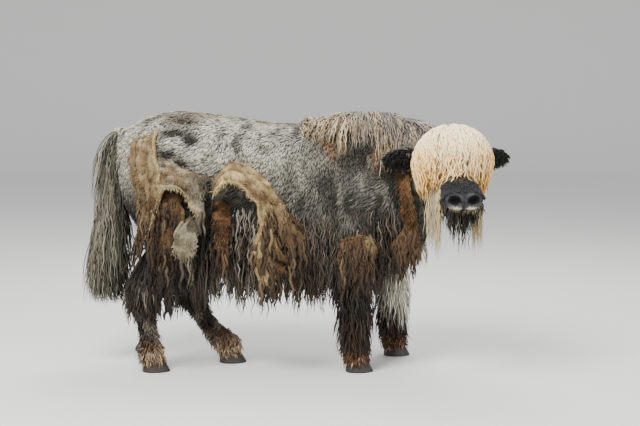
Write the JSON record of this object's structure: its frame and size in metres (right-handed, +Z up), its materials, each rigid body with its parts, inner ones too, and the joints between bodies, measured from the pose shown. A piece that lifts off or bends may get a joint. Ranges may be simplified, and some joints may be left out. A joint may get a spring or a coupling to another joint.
{
  "type": "yak",
  "caption": "Still, life-size model of a polled domestic yak shedding its winter wool, standing with its head turned to the side",
  "frame": {"origin": "on the floor, under the middle of the whole animal", "axes": "+X forward along the body, +Y to the animal's left, +Z up"},
  "size_m": [2.061, 1.0137, 1.2504],
  "materials": {
    "woolly_coat": "soft matt wool, grey with a paler back and a brown line along the spine",
    "pale_mop": "cream hair in thin wavy cords",
    "beard": "near-black hair with pale tips",
    "nose_leather": "damp grained skin, dark grey with pale spots on the upper lip",
    "eye": "wet, dark brown",
    "ear_hair": "black hair",
    "leg_hair": "shaggy dark brown hair, reddish brown over the hooves",
    "hoof_horn": "worn horn",
    "tail_hair": "long grey hair, darker along the dock",
    "felted_wool": "matted wool, sandy outside and brown inside"
  },
  "bodies": {
    "root": {"claw_fore_left_left": "hoof_horn", "claw_fore_left_right": "hoof_horn", "claw_fore_right_left": "hoof_horn", "claw_fore_right_right": "hoof_horn", "claw_hind_left_left": "hoof_horn", "claw_hind_left_right": "hoof_horn", "claw_hind_right_left": "hoof_horn", "claw_hind_right_right": "hoof_horn", "dewclaw_fore_left_left": "hoof_horn", "dewclaw_fore_left_right": "hoof_horn", "dewclaw_fore_right_left": "hoof_horn", "dewclaw_fore_right_right": "hoof_horn", "dewclaw_hind_left_left": "hoof_horn", "dewclaw_hind_left_right": "hoof_horn", "dewclaw_hind_right_left": "hoof_horn", "dewclaw_hind_right_right": "hoof_horn", "ear_left": "ear_hair", "ear_right": "ear_hair", "eye_left": "eye", "eye_right": "eye", "foreleg_left_lower": "leg_hair", "foreleg_left_upper": "leg_hair", "foreleg_right_lower": "leg_hair", "foreleg_right_upper": "leg_hair", "head": "pale_mop", "hindleg_left_lower": "leg_hair", "hindleg_left_upper": "leg_hair", "hindleg_right_lower": "leg_hair", "hindleg_right_upper": "leg_hair", "lower_jaw": "beard", "muzzle": "nose_leather", "neck": "woolly_coat", "shed_wool_arch": "felted_wool", "shed_wool_cone": "felted_wool", "shed_wool_far_hip": "felted_wool", "shed_wool_far_ribs": "felted_wool", "shed_wool_foreleg": "felted_wool", "shed_wool_hip": "felted_wool", "shed_wool_neck": "felted_wool", "shed_wool_swag": "felted_wool", "shed_wool_thigh": "felted_wool", "shed_wool_tongue": "felted_wool", "tail_dock": "tail_hair", "tail_switch": "tail_hair", "torso_barrel": "woolly_coat", "torso_chest": "woolly_coat", "torso_rump": "woolly_coat"}
  },
  "joints": []
}
